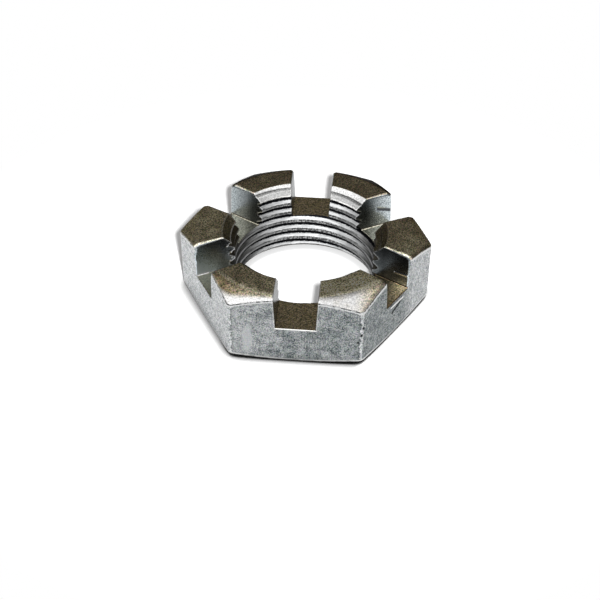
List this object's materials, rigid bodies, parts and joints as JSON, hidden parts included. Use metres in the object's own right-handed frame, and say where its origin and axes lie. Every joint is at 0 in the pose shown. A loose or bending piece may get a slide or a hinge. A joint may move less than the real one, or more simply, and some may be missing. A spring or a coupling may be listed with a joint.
{
  "type": "castle nut",
  "caption": "Thin slotted hexagon lock nut for an axle spindle, with a coned crown and slots across its flats for a locking pin.",
  "frame": {"origin": "centre of the bearing face, on the thread axis", "axes": "+Z along the thread axis to the slotted end, +X through a corner of the hexagon, flats facing -Y and +Y"},
  "size_m": [0.0418, 0.0366, 0.0127],
  "materials": {
    "steel": "plain machined bar steel, grey flats and bright cut faces"
  },
  "bodies": {
    "root": {"castle_nut": "steel"}
  },
  "joints": []
}
